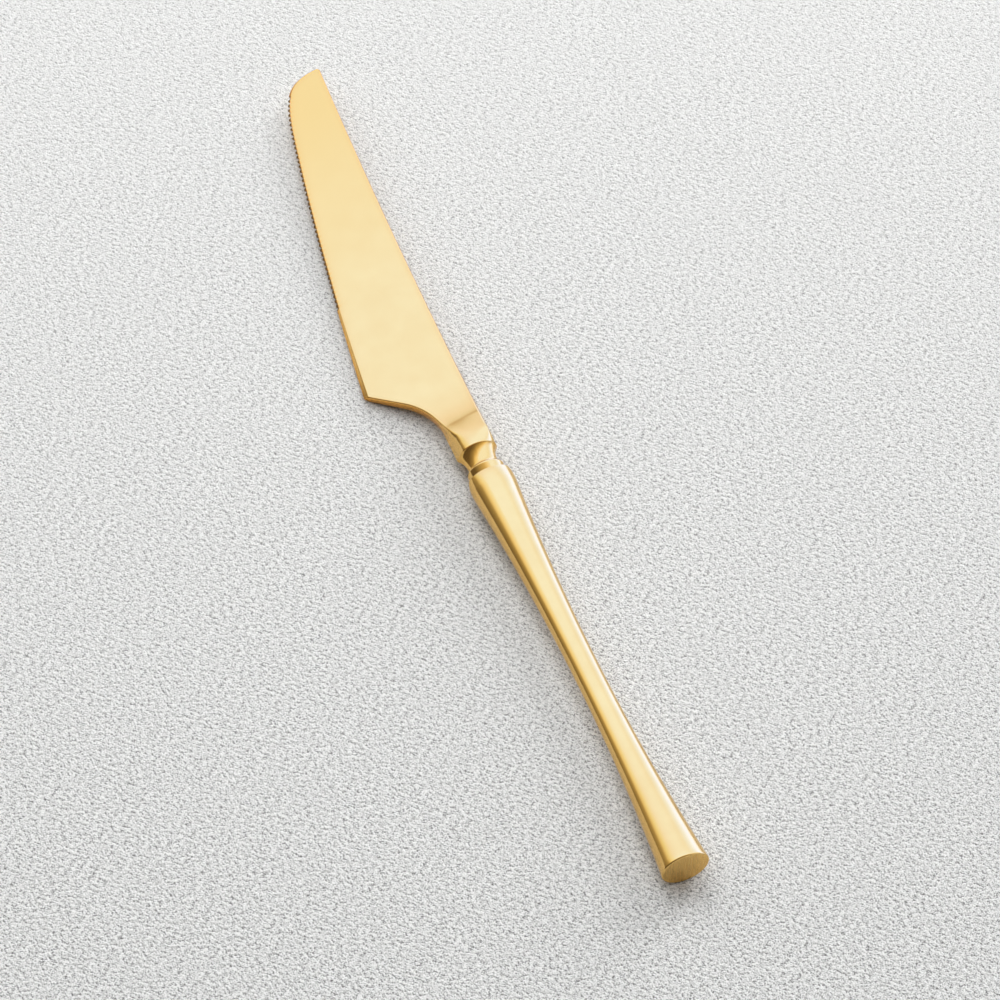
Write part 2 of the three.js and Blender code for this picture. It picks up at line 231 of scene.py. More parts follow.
# %% Butt plate
PLATE_THICKNESS = 1.6
PLATE_CLEARANCE = 0.003
OVAL_POINTS = 128


def oval_rings(x, width, height):
    """Ovals square to the knife's length: width times cosine, height times sine, at half steps so that
    the upper and lower points are partners."""
    angle = (np.arange(OVAL_POINTS) + 0.5) * 2 * np.pi / OVAL_POINTS
    return lay_down(x[:, None], width[:, None] * np.cos(angle), height[:, None] * np.sin(angle))


plate_x = np.array([0, PLATE_THICKNESS])
plate_width = body_half_width(plate_x) - SHELL_WALL - PLATE_CLEARANCE
plate_height = OVAL_RATIO * body_half_width(plate_x) - SHELL_WALL - PLATE_CLEARANCE
plate = skin("butt_plate", oval_rings(plate_x, plate_width, plate_height))
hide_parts("end_cap")

# %% [markdown]
# ## Collar bead
# Between neck and handle sits a thin bead on a register that centres the shells. In profile the bead
# rises in a straight slope from below the handle's rim and turns down to the neck in a quarter round. The
# slope is steeper over the top than at the sides: it leans back far enough to mirror the dim side of
# the room, which is why the bead shows as a darker band before the handle's bright rim.

# %% Collar bead
BEAD_BACK, BEAD_FRONT, BEAD_PEAK = 100.62, 102.86, 0.78
BEAD_WIDTH, BEAD_ROUND = 7.3, 0.4
BEAD_HEIGHT, BEAD_DROP, BEAD_FALL = 6.06, 0.78, 0.45
REGISTER_BACK, REGISTER_HALF, REGISTER_HEIGHT = 98.9, 3.05, 2.165
SLOPE_STATIONS, ROUND_STATIONS = 12, 14

turn = quarter(ROUND_STATIONS)
slope = np.linspace(0, 1, SLOPE_STATIONS)[:-1]
bead_share = np.concatenate([BEAD_PEAK * slope, BEAD_PEAK + (1 - BEAD_PEAK) * np.sin(turn)])
bead_rise = np.concatenate([slope, np.cos(turn)])
bead_low = np.concatenate([np.full_like(slope, BEAD_DROP), np.full_like(turn, BEAD_FALL)])
bead_high = BEAD_HEIGHT / 2 - bead_low * (1 - bead_rise)
bead_x = BEAD_BACK + (BEAD_FRONT - BEAD_BACK) * bead_share
bead_half = BEAD_WIDTH / 2 - BEAD_ROUND * (1 - bead_rise)
collar_x = np.concatenate([[REGISTER_BACK, BEAD_BACK], bead_x])
collar_width = np.concatenate([[REGISTER_HALF, REGISTER_HALF], bead_half])
collar_height = np.concatenate([[REGISTER_HEIGHT, REGISTER_HEIGHT], bead_high])
bead = skin("collar_bead", oval_rings(collar_x, collar_width, collar_height))
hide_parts("collar_ring")

# %% [markdown]
# ## Blade outline
# The blade is the piece that shows most. Its plan is drawn once as a path on the cutting-edge side: a
# straight neck, a hollow sweep, the straight heel step, a shallow curve along the cutting edge and a
# full nose. The path is kept as points with their running length, so that teeth can be set along it.

# %% Blade outline
COVE_BACK, COVE_BOTTOM, LIP_AT = 102.9, 103.9, 107.1
LIP_LAND_END = LIP_AT + 0.35
NECK_HALF = 4.0
HEEL = np.array([129.8, 14.55])
TIP_AT = 209.8
STEP_ANGLE = math.radians(48)
STEP_RADIUS = 14.0
HEEL_SLOPE, NOSE_SLOPE = math.tan(math.radians(7)), math.tan(math.radians(10.2))
NOSE = np.array([187.1, 6.25])
NOSE_FULLNESS, TIP_FULLNESS = 17.0, 8.0
SPINE_BEND_AT, SPINE_SWEEP = 115.1, 2.25
TIP_ROUND = 0.7
CURVE_POINTS = 1200


def spine_y(x):
    """Spine: straight behind, then one long arc, then a small quarter round into the tip."""
    reach = TIP_AT - SPINE_BEND_AT
    radius = (reach**2 + SPINE_SWEEP**2) / (2 * SPINE_SWEEP)
    along = np.clip(x - SPINE_BEND_AT, 0, None)
    corner = np.clip(x - (TIP_AT - TIP_ROUND), 0, TIP_ROUND)
    turned = TIP_ROUND - np.sqrt(TIP_ROUND**2 - corner**2)
    return -NECK_HALF - (radius - np.sqrt(radius**2 - along**2)) + turned


def bezier(points, count):
    """Bezier curve through its control points: repeated linear mixing of neighbours."""
    share = np.linspace(0, 1, count)[:, None]
    rows = [np.repeat(np.asarray(point, float)[None], count, axis=0) for point in points]
    while len(rows) > 1:
        rows = [a + (b - a) * share for a, b in zip(rows, rows[1:])]
    return rows[0]


def running_length(path):
    """Length along a path up to each of its points."""
    return np.concatenate([[0], np.cumsum(np.linalg.norm(np.diff(path, axis=0), axis=1))])


meet_x = (HEEL[1] - NOSE[1] + HEEL_SLOPE * HEEL[0] - NOSE_SLOPE * NOSE[0]) / (HEEL_SLOPE - NOSE_SLOPE)
meet = np.array([meet_x, HEEL[1] - HEEL_SLOPE * (meet_x - HEEL[0])])
nose_full = NOSE + NOSE_FULLNESS * np.array([1, -NOSE_SLOPE])
tip = np.array([TIP_AT, spine_y(TIP_AT)])
tip_full = tip + np.array([0, TIP_FULLNESS])
cut_line = bezier([HEEL, meet, NOSE], CURVE_POINTS)
nose_line = bezier([NOSE, nose_full, tip_full, tip], CURVE_POINTS)
edge_path = np.concatenate([cut_line, nose_line[1:]])
edge_run = running_length(edge_path)
edge_tangent = np.gradient(edge_path, axis=0)
edge_tangent /= np.linalg.norm(edge_tangent, axis=1)[:, None]
print("cutting edge length, mm:", round(edge_run[-1], 2))

# %% [markdown]
# ## Stations along the outline
# A ring is wanted wherever the shape changes: close together at the neck's plunge, in the sweep and at
# every flank of the serration. The teeth are real notches: at each station the edge point is moved
# inwards by a trapezoid wave. Rings run straight across to the spine, and in the nose they fan out so
# that they stay nearly square to the curving edge.

# %% Stations and teeth
PLAIN_HEEL_LENGTH = 22.5
TOOTH_COUNT, TOOTH_PITCH = 46, 1.2
TOOTH_LAND, TOOTH_ROOT, TOOTH_DEPTH = 0.3, 0.44, 0.48
FAN_FROM, FAN_LAND = 190.0, 0.02
STEP_CROWDING, HEEL_CROWDING, TIP_CROWDING = 1.6, 1.3, 1.7
NECK_STATIONS, SWEEP_STATIONS, STEP_STATIONS, HEEL_STATIONS, TIP_STATIONS = 46, 64, 40, 50, 80

sweep_rise = STEP_RADIUS * (1 - math.cos(STEP_ANGLE))
step_y = NECK_HALF + sweep_rise
step_start = np.array([HEEL[0] - (HEEL[1] - step_y) / math.tan(STEP_ANGLE), step_y])
sweep_at = step_start[0] - STEP_RADIUS * math.sin(STEP_ANGLE)

neck_x = np.linspace(LIP_LAND_END, sweep_at, NECK_STATIONS)[:-1]
neck_line = np.stack([neck_x, np.full_like(neck_x, NECK_HALF)], axis=1)
turn = np.linspace(0, STEP_ANGLE, SWEEP_STATIONS)
sweep_line = STEP_RADIUS * np.stack([np.sin(turn), 1 - np.cos(turn)], axis=1) + [sweep_at, NECK_HALF]
step_share = (1 - (1 - np.linspace(0, 1, STEP_STATIONS)[1:-1]) ** STEP_CROWDING)[:, None]
step_line = step_start + (HEEL - step_start) * step_share
wall_outline = np.concatenate([neck_line, sweep_line, step_line])

land = TOOTH_LAND / TOOTH_PITCH / 2
root = 0.5 - TOOTH_ROOT / TOOTH_PITCH / 2
CORNER = 0.006
beat = np.array([0, land - CORNER, land + CORNER, (land + root) / 2, root - CORNER, root + CORNER, 0.5])
beat = np.concatenate([beat, 1 - beat[1:-1][::-1]])
tooth_run = PLAIN_HEEL_LENGTH + TOOTH_PITCH * (np.arange(TOOTH_COUNT)[:, None] + beat[None, :]).ravel()
plain_run = PLAIN_HEEL_LENGTH * np.linspace(0, 1, HEEL_STATIONS)[:-1] ** HEEL_CROWDING
tip_left = (1 - np.linspace(0, 1, TIP_STATIONS)[1:]) ** TIP_CROWDING
tip_run = edge_run[-1] - (edge_run[-1] - tooth_run[-1]) * tip_left
run = np.concatenate([plain_run, tooth_run, tip_run])

phase = np.abs(np.mod((run - PLAIN_HEEL_LENGTH) / TOOTH_PITCH, 1) - 0.5)
toothed = (run > PLAIN_HEEL_LENGTH) & (run < PLAIN_HEEL_LENGTH + TOOTH_COUNT * TOOTH_PITCH)
notch = TOOTH_DEPTH * np.clip((0.5 - land - phase) / (root - land), 0, 1) * toothed
edge_x, edge_y, tangent_x, tangent_y = (
    np.interp(run, edge_run, column) for column in np.concatenate([edge_path, edge_tangent], axis=1).T
)
inward = np.stack([tangent_y, -tangent_x], axis=1)
cutting_outline = np.stack([edge_x, edge_y], axis=1) + inward * notch[:, None]

fan_run = np.interp(FAN_FROM, edge_path[:, 0], edge_run)
fan = np.clip((run - fan_run) / (edge_run[-1] - fan_run), 0, 1)
spine_x = np.where(run < fan_run, edge_x, FAN_FROM + (TIP_AT - FAN_LAND - FAN_FROM) * fan)
print("stations on the wall side:", len(wall_outline), "on the cutting edge:", len(run))

# %% [markdown]
# ## Height of the blade's upper side
# Both sides of the blade are flat and taper towards edge and tip, with upright walls. Towards the lip
# the flat rises to a crown on a ramp that is steepest at the plunge line, where the grinding wheel
# stopped; that line runs a little slanting. On the way the section turns from flat with walls to an
# oval, first on the cutting-edge side and only close to the lip on the spine side.

# %% Height sheets
NECK_HALF_THICK, HEEL_HALF_THICK, TIP_HALF_THICK = 1.2, 0.75, 0.4
TAPER_AT = 115.65
LIP_CROWN = 3.2
PLUNGE_AT, PLUNGE_SLANT, RAMP_POWER = 114.7, 0.1, 1.1
RAMP_END, RAMP_SAMPLES = 140, 4000
SPINE_LEAD = 0.85
FILLET_SHORT, FILLET_LONG, FILLET_SHARE = 0.35, 3.4, 0.82
WALL_POWER, WALL_REACH = 2.6, 0.5

taper_x, taper_y = [TAPER_AT, TIP_AT, HEEL[0]], [-NECK_HALF, -NECK_HALF - SPINE_SWEEP, HEEL[1]]
taper = np.linalg.solve(
    np.stack([taper_x, taper_y, np.ones(3)], axis=1), [NECK_HALF_THICK, TIP_HALF_THICK, HEEL_HALF_THICK]
)
ramp_x = np.linspace(LIP_LAND_END, RAMP_END, RAMP_SAMPLES)
before = np.clip((ramp_x - LIP_LAND_END) / (PLUNGE_AT - LIP_LAND_END), 0, 1) ** RAMP_POWER
past = np.clip(ramp_x - PLUNGE_AT, 0, None)
after = (1 - FILLET_SHARE) * np.exp(-past / FILLET_SHORT) + FILLET_SHARE * np.exp(-past / FILLET_LONG)
ramp_share = np.cumsum(np.where(ramp_x < PLUNGE_AT, before, after)[::-1])[::-1]
ramp_share /= ramp_share[0]


def flat_height(x, y):
    """Flat: a plane that tapers from neck to heel and tip."""
    return taper[0] * x + taper[1] * y + taper[2]


def crown_height(x, y):
    """Flat plus the ramp: the running sum of a slope that grows from the lip to the plunge line and dies
    away past it, read at a place that slants with y."""
    along = np.clip((x - LIP_LAND_END) / (PLUNGE_AT - LIP_LAND_END), 0, 1)
    lead = SPINE_LEAD * np.clip(-y / NECK_HALF, 0, 1) * np.sin(np.pi * along)
    share = np.interp(x + PLUNGE_SLANT * y * along + lead, ramp_x, ramp_share)
    return flat_height(x, y) + share * (LIP_CROWN - flat_height(x, 0))


def wall_share(inset):
    """Upright wall with a rounded top: a quarter of an oval of a higher power, as a share of the height."""
    left = np.clip(1 - inset / WALL_REACH, 0, 1)
    return (1 - left**WALL_POWER) ** (1 / WALL_POWER)


steepest = np.abs(np.gradient(crown_height(ramp_x, 0 * ramp_x), ramp_x)).max()
print("steepest place of the ramp, degrees:", round(math.degrees(math.atan(steepest)), 1))

# %% [markdown]
# ## Rings of the blade
# Each ring gets a close group of points up the wall and over its rounded edge, or up the bevel, some
# over the flat, and the same again at the spine. In the neck the groups spread over the whole oval. On
# its cutting-edge side a slanting flank is ground off the oval; it steepens towards the blade until it
# is the wall of the sweep. The underside mirrors the upper side.

# %% Ring ends and bevel
HEEL_BEVEL, TOOTH_BEVEL, NOSE_BEVEL, EDGE_HALF_LAND = 0.88, 0.42, 0.1, 0.05
THIN_SHARE, THIN_REACH, THIN_FADE = 0.35, 1.6, 12.0

ring_edge = np.concatenate([wall_outline, cutting_outline])
ring_spine_x = np.concatenate([wall_outline[:, 0], spine_x])
ring_spine = np.stack([ring_spine_x, spine_y(ring_spine_x)], axis=1)
across = np.linalg.norm(ring_spine - ring_edge, axis=1)[:, None]
way = (ring_spine - ring_edge) / across
cuts = (np.arange(len(ring_edge)) >= len(wall_outline))[:, None]
on_wall = np.zeros(len(wall_outline))
ring_run = np.concatenate([on_wall, run])
bevel_at = [0, PLAIN_HEEL_LENGTH, tooth_run[-1], edge_run[-1]]
bevel = np.interp(ring_run, bevel_at, [HEEL_BEVEL, TOOTH_BEVEL, TOOTH_BEVEL, NOSE_BEVEL])[:, None]
heel_inward = np.array([-HEEL_SLOPE, -1]) / math.hypot(HEEL_SLOPE, 1)
ring_inward = np.concatenate([np.repeat(heel_inward[None], len(wall_outline), axis=0), inward])
ring_notch = np.concatenate([on_wall, notch])[:, None]
behind_edge = np.where(cuts, ring_notch, ((ring_edge - HEEL) @ heel_inward)[:, None])
facing = np.sum(way * ring_inward, axis=1)[:, None]


def plan(inset):
    """Place in plan at a distance in from the ring's edge end."""
    return ring_edge[:, :1] + way[:, :1] * inset, ring_edge[:, 1:] + way[:, 1:] * inset


def depth(inset):
    """Distance in from the cutting edge as it was before the teeth were cut."""
    return np.clip(behind_edge + facing * inset, 0, None)


def hollow_ground(inset):
    """Thinning towards the serrated edge, as a factor: one less a square of what is left of its reach,
    growing along the plain heel and fading into the tip."""
    grown = np.minimum(ring_run / PLAIN_HEEL_LENGTH, (edge_run[-1] - ring_run) / THIN_FADE)[:, None]
    return 1 - THIN_SHARE * np.clip(grown, 0, 1) * np.clip(1 - depth(inset) / THIN_REACH, 0, 1) ** 2


bevel_slope = (flat_height(*plan(bevel)) * hollow_ground(bevel) - EDGE_HALF_LAND) / bevel
print("rings:", len(ring_edge), "bevel slope at the heel:", round(bevel_slope[len(on_wall), 0], 2))

# %% Blade rings
BEVEL_ROUND, HEEL_JOIN = 0.04, 1.5
LAND_STEPS = np.array([0.2, 0.5, 0.8, 1.0])
BEVEL_STEPS = np.array([0.2, 0.5, 0.8, 0.93, 1.0, 1.07, 1.2, 1.4, 1.7, 2.1])
SIDE_POINTS, FACE_STEPS = 14, 18
OVAL_REACH, MOST_SIDE_SHARE = 0.4, 0.4
OVAL_FROM, OVAL_TO = 113.5, 118.0
EDGE_POWER, EDGE_POWER_FROM = 1.9, 109.0
FLANK_SLOPE, FLANK_GROWTH, FLANK_FROM, FLANK_ROUND = 1.75, 0.4, 111.0, 0.85
SPINE_POWER, SPINE_POWER_FROM, SPINE_OVAL_TO = 2.0, LIP_LAND_END, 110.5
WALLED_POWER = 10.0


def section_share(inset):
    """Height across a ring as a share of its crown: walls with flat between on the blade; in the neck
    one minus a power of the distance from the middle, to one over that power, which is an oval at 2."""
    x, _ = plan(inset)
    off_middle = np.clip(2 * inset / across - 1, -1, 1)
    late = np.clip((x - EDGE_POWER_FROM) / (OVAL_TO - EDGE_POWER_FROM), 0, 1) ** 2
    early = np.clip((x - SPINE_POWER_FROM) / (OVAL_TO - SPINE_POWER_FROM), 0, 1)
    edge_power = EDGE_POWER + (WALLED_POWER - EDGE_POWER) * late
    power = np.where(off_middle < 0, edge_power, SPINE_POWER + (WALLED_POWER - SPINE_POWER) * early)
    oval = (1 - np.abs(off_middle) ** power) ** (1 / power)
    crown = crown_height(*plan(inset))
    flank = (FLANK_SLOPE + FLANK_GROWTH * np.clip(x - FLANK_FROM, 0, None)) * inset
    flanked = round_lowest(oval, flank / crown, FLANK_ROUND * np.clip(inset, TINY, 1) / crown)
    oval = np.where(off_middle < 0, flanked, oval)
    walls = wall_share(across - inset) * np.where(cuts, 1, wall_share(inset))
    edge_mix = np.clip((OVAL_TO - x) / (OVAL_TO - OVAL_FROM), 0, 1)
    spine_mix = np.clip((SPINE_OVAL_TO - x) / (SPINE_OVAL_TO - LIP_LAND_END), 0, 1)
    mix = np.where(off_middle < 0, edge_mix, spine_mix)
    return walls + mix**2 * (3 - 2 * mix) * (oval - walls)


def top_height(inset):
    """Upper side of the blade at a distance in from the ring's edge end: the crown times the section's
    share, or the bevel where that is lower."""
    face = crown_height(*plan(inset)) * section_share(inset) * hollow_ground(inset)
    return round_lowest(face, EDGE_HALF_LAND + bevel_slope * depth(inset), BEVEL_ROUND)


swing = (np.arange(SIDE_POINTS) + 0.5) / SIDE_POINTS * np.pi / 2
spread = np.sqrt(np.clip((OVAL_TO - ring_edge[:, :1]) / (OVAL_TO - LIP_LAND_END), 0, 1))
side = (1 - spread) * WALL_REACH * (1 - np.cos(swing) ** (2 / WALL_POWER))
side = side + spread * OVAL_REACH * across * (1 - np.cos(swing))
bevel_side = bevel * np.concatenate([np.zeros_like(LAND_STEPS), BEVEL_STEPS])
room = MOST_SIDE_SHARE * across
join = np.clip(1 - np.linalg.norm(ring_edge - HEEL, axis=1)[:, None] / HEEL_JOIN, 0, 1)
edge_side = np.where(cuts, bevel_side, side + join * (bevel_side[len(on_wall)] - side))
edge_side = edge_side * np.minimum(1, room / edge_side[:, -1:])
spine_side = side * np.minimum(1, room / side[:, -1:])
face_share = np.linspace(0, 1, FACE_STEPS + 2)[1:-1]
face = edge_side[:, -1:] + (across - spine_side[:, -1:] - edge_side[:, -1:]) * face_share
inset = np.concatenate([edge_side, face, (across - spine_side)[:, ::-1]], axis=1)
ring_x, ring_y = plan(inset)
ring_z = top_height(inset)
climb = np.ones(inset.shape[1])
climb[:len(LAND_STEPS)] = LAND_STEPS
ring_z *= np.where(cuts, climb, 1)
print("blade rings:", ring_x.shape, "thickest, mm:", round(2 * ring_z.max(), 2))

# %% [markdown]
# ## Lip and cove
# Behind the lip the neck is turned to a hollow, the cove. Its rings are plain ovals that go over into
# the neck's first ring just behind the lip: a small round over the lip, a hollow that falls away from it
# along an arc, and a flare out to the bead. The hollow is cut deeper on the flat sides than in plan.

# %% Lip and cove
COVE_HALF, COVE_END_HALF, LIP_ROUND = 2.95, 3.35, 0.12
COVE_HEIGHT, COVE_END_HEIGHT = 1.95, 2.6
COVE_ARC, COVE_POWER, LIP_FADE = 0.9, 1.65, 0.5
FLARE_STATIONS, HOLLOW_STATIONS, LIP_STATIONS = 16, 40, 9

swing = quarter(FLARE_STATIONS)[::-1]
arc = np.linspace(0, 1, HOLLOW_STATIONS)[1:]
lip_swing = quarter(LIP_STATIONS)[1:]
hollow = (1 - np.sqrt(1 - (COVE_ARC * arc) ** 2)) / (1 - math.sqrt(1 - COVE_ARC**2))
cove_x = np.concatenate([
    COVE_BOTTOM - (COVE_BOTTOM - COVE_BACK) * np.sin(swing),
    COVE_BOTTOM + (LIP_AT - COVE_BOTTOM) * arc,
    LIP_AT + LIP_ROUND * (1 - np.cos(lip_swing)),
])


def cove_profile(end, bottom, lip):
    """Half size along the cove: a quarter-round flare, the hollow's arc, and the round over the lip."""
    flare = bottom + (end - bottom) * (1 - np.cos(swing))
    inner = lip - LIP_ROUND
    rise = bottom + (inner - bottom) * hollow
    return np.concatenate([flare, rise, inner + LIP_ROUND * np.sin(lip_swing)])


cove_wide = cove_profile(COVE_END_HALF, COVE_HALF, NECK_HALF)[:, None] / NECK_HALF
cove_high = cove_profile(COVE_END_HEIGHT, COVE_HEIGHT, LIP_CROWN)[:, None] / LIP_CROWN
all_x = np.concatenate([np.repeat(cove_x[:, None], ring_x.shape[1], axis=1), ring_x])
all_y = np.concatenate([cove_wide * ring_y[:1], ring_y])
cove_power = np.where(ring_y[:1] > 0, COVE_POWER, SPINE_POWER)
cove_oval = LIP_CROWN * (1 - np.abs(ring_y[:1] / NECK_HALF) ** cove_power) ** (1 / cove_power)
lip_share = np.clip((cove_x - LIP_AT) / LIP_FADE + 1, 0, 1)[:, None]
all_z = np.concatenate([cove_high * (cove_oval + lip_share * (ring_z[:1] - cove_oval)), ring_z])
upper_side, under_side = lay_down(all_x, all_y, all_z), lay_down(all_x, all_y, -all_z)
blade = skin("forged_blade", np.concatenate([upper_side, under_side[:, ::-1]], axis=1))
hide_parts("blade")

# %% [markdown]
# ## Satin gold
# The steel carries a thin gold-coloured coating over a satin ground surface. A metal has no colour of
# its own but that of its reflection, so the base colour is the tint of the reflection and the roughness
# says how far it is smeared. Fine streaks along the grinding direction come from noise that is
# stretched on Object coordinates: they vary the roughness and lift a very slight bump. Towards the tip
# the gold turns a little warmer and deeper. Along the edges and over the cove a deeper gold is painted
# shade, and the teeth are painted dark brown as shade. Attributes of the mesh tell where.

# %% Marks on the blade
EDGE_TINT_WIDTH, EDGE_TINT_FROM, EDGE_TINT_GROWTH = 0.35, 110, 8
NOSE_TINT_FROM, NOSE_TINT_REACH = 150, 50
TOOTH_MARGIN, TOOTH_FADE = 0.06, 0.08


def mark(name, share, in_cove=0.0):
    """Point attribute of the blade from its share on the upper rings and one share for the whole cove;
    the underside mirrors the upper side."""
    share = np.concatenate([np.full((len(cove_x), share.shape[1]), in_cove), share])
    share = np.concatenate([share, share[:, ::-1]], axis=1)
    blade.data.attributes.new(name, "FLOAT", "POINT").data.foreach_set("value", share.ravel())
    print("mark", name, "on", int((share > 0.5).sum()), "points")


ring_toothed = np.concatenate([on_wall > 0, toothed])[:, None]
past_neck = np.clip((ring_x - EDGE_TINT_FROM) / EDGE_TINT_GROWTH, 0, 1)
tooth_shade_mask = (TOOTH_DEPTH - TOOTH_MARGIN - depth(inset)) / TOOTH_FADE + 0.5
# Painted shade: a deeper, more orange gold along both edges of the blade stands in for the shading of its
# rounded edges.
mark("painted_edge_shade", np.exp(-np.minimum(inset, across - inset) / EDGE_TINT_WIDTH) * past_neck)
mark("nose", np.clip((ring_x - NOSE_TINT_FROM) / NOSE_TINT_REACH, 0, 1))
# Painted shade: the whole cove, a recess under the lip, is given a deeper gold.
mark("painted_cove_shade", 0 * ring_x, in_cove=1.0)
# Painted shade: the teeth are painted dark brown, standing in for the shaded floor that their flanks
# mirror.
mark("painted_tooth_shade", ring_toothed * np.clip(tooth_shade_mask, 0, 1))


# %% Node helpers
def new_material(name):
    """Empty node material with its surface shader; returns material, tree and shader."""
    material = bpy.data.materials.new(name)
    material.use_nodes = True
    return material, material.node_tree, material.node_tree.nodes["Principled BSDF"]


def add(tree, kind, **settings):
    """New node with attributes and, for names of sockets, values."""
    node = tree.nodes.new(kind)
    for key, value in settings.items():
        if key in node.inputs:
            node.inputs[key].default_value = value
        else:
            setattr(node, key, value)
    return node


def colour_ramp(tree, factor, stops):
    """Colour ramp over a factor with (place, colour) stops; returns its colour."""
    ramp = add(tree, "ShaderNodeValToRGB")
    elements = ramp.color_ramp.elements
    while len(elements) < len(stops):
        elements.new(1.0)
    for element, (place, colour) in zip(elements, stops):
        element.position = place
        element.color = (*colour[:3], 1)
    tree.links.new(factor, ramp.inputs["Fac"])
    return ramp.outputs["Color"]


def blend(tree, factor, first, second):
    """Mix of two colours, each a socket or a plain colour; returns the mixed colour."""
    mix = add(tree, "ShaderNodeMix", data_type="RGBA")
    tree.links.new(factor, mix.inputs["Factor"])
    for socket, value in ((mix.inputs[6], first), (mix.inputs[7], second)):
        if isinstance(value, tuple):
            socket.default_value = value
        else:
            tree.links.new(value, socket)
    return mix.outputs[2]


print("helpers for materials: new_material, add, colour_ramp, blend")

# %% Satin gold
PALE_GOLD, GOLD = (0.81, 0.52, 0.173, 1), (0.79, 0.49, 0.155, 1)
STREAK_DETAIL, STREAK_ROUGHNESS = 4.0, 0.6
CLOUD_SCALE, CLOUD_DETAIL, CLOUD_ROUGHNESS = 160.0, 3.0, 0.55
GRIND_STRENGTH, GRIND_DEPTH = 0.06, 0.00004


def satin_gold(name, stretch, roughness, marks=()):
    """Gold-coated steel with grinding streaks. stretch gives the noise's fineness along x, y and z, and
    marks are pairs of an attribute's name and the colour it brings in."""
    material, tree, shader = new_material(name)
    link = tree.links.new
    place = add(tree, "ShaderNodeTexCoord")
    mapping = add(tree, "ShaderNodeMapping", Scale=stretch)
    link(place.outputs["Object"], mapping.inputs["Vector"])
    streak = add(tree, "ShaderNodeTexNoise", Scale=1.0, Detail=STREAK_DETAIL)
    streak.inputs["Roughness"].default_value = STREAK_ROUGHNESS
    link(mapping.outputs["Vector"], streak.inputs["Vector"])
    cloud = add(tree, "ShaderNodeTexNoise", Scale=CLOUD_SCALE, Detail=CLOUD_DETAIL)
    cloud.inputs["Roughness"].default_value = CLOUD_ROUGHNESS
    link(place.outputs["Object"], cloud.inputs["Vector"])
    colour = colour_ramp(tree, cloud.outputs["Fac"], [(0.3, GOLD), (0.7, PALE_GOLD)])
    for attribute, tint in marks:
        share = add(tree, "ShaderNodeAttribute", attribute_name=attribute)
        colour = blend(tree, share.outputs["Fac"], colour, tint)
    link(colour, shader.inputs["Base Color"])
    smear = add(tree, "ShaderNodeMapRange")
    smear.inputs["To Min"].default_value = roughness[0]
    smear.inputs["To Max"].default_value = roughness[1]
    link(streak.outputs["Fac"], smear.inputs["Value"])
    link(smear.outputs["Result"], shader.inputs["Roughness"])
    grind = add(tree, "ShaderNodeBump", Strength=GRIND_STRENGTH, Distance=GRIND_DEPTH)
    link(streak.outputs["Fac"], grind.inputs["Height"])
    link(grind.outputs["Normal"], shader.inputs["Normal"])
    shader.inputs["Metallic"].default_value = 1.0
    return material


LENGTHWISE, UPRIGHT = (120, 2600, 2600), (2600, 2600, 160)
# The cove's and the edges' deeper golds and the teeth's dark brown are painted shade; the tip only turns a
# warmer gold.
WARM_GOLD, COVE_SHADE_GOLD = (0.80, 0.466, 0.123, 1), (0.80, 0.48, 0.137, 1)
EDGE_SHADE_GOLD, TOOTH_SHADE_BROWN = (0.82, 0.40, 0.082, 1), (0.20, 0.11, 0.036, 1)
blade_marks = (("nose", WARM_GOLD), ("painted_cove_shade", COVE_SHADE_GOLD), ("painted_edge_shade", EDGE_SHADE_GOLD), ("painted_tooth_shade", TOOTH_SHADE_BROWN))

handle_gold = satin_gold("handle_satin_gold", LENGTHWISE, roughness=(0.09, 0.15))
blade_gold = satin_gold("blade_satin_gold", LENGTHWISE, roughness=(0.10, 0.17), marks=blade_marks)
butt_gold = satin_gold("butt_brushed_gold", UPRIGHT, roughness=(0.2, 0.34))
print("finishes:", handle_gold.name, blade_gold.name, butt_gold.name)

# %% [markdown]
# ## Finishes on the pieces
# The plate in the butt is brushed across, and so is the shells' rim round it, because both are ground
# together after welding. So the shells carry two finishes: the faces that close their first ring take
# the butt's.

# %% Finishes on the pieces
for piece, finish in (
    (upper_shell, handle_gold), (lower_shell, handle_gold), (bead, handle_gold),
    (blade, blade_gold), (plate, butt_gold), (upper_shell, butt_gold), (lower_shell, butt_gold),
):
    piece.data.materials.append(finish)

end_faces = np.zeros(len(upper_shell.data.polygons), dtype=np.int32)
first_end_face = (len(stations) - 1) * 2 * SHELL_POINTS
end_faces[first_end_face:first_end_face + SHELL_POINTS - 1] = 1
upper_shell.data.polygons.foreach_set("material_index", end_faces)
lower_shell.data.polygons.foreach_set("material_index", end_faces)
print("faces of each shell that are brushed as the butt:", end_faces.sum())

# %% [markdown]
# ## Cement inside the handle
# The filling is hidden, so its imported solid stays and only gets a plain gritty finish.

# %% Cement
cement, tree, shader = new_material("gritty_cement")
place = add(tree, "ShaderNodeTexCoord")
grit = add(tree, "ShaderNodeTexNoise", Scale=1800.0, Detail=4.0)
tree.links.new(place.outputs["Object"], grit.inputs["Vector"])
shade = colour_ramp(tree, grit.outputs["Fac"], [(0.0, (0.40, 0.36, 0.30)), (1.0, (0.56, 0.50, 0.42))])
tree.links.new(shade, shader.inputs["Base Color"])
shader.inputs["Roughness"].default_value = 0.9
filling = frame["nodes"]["handle_cement"]
filling.data.materials.clear()
filling.data.materials.append(cement)
print("cement on", filling.name)

# %% [markdown]
# ## Camera
# The photograph looks down on the knife from behind the butt. A long lens from two metres keeps its
# flat perspective. The place and the aim are in the table's frame.

# %% Camera
CAMERA_PLACE = np.array([-1.225894, 0.458957, 1.516188])
CAMERA_AIM = np.array([-0.007045, -0.005087, -0.000081])
LENS_MM, SENSOR_MM = 382.97, 36.0

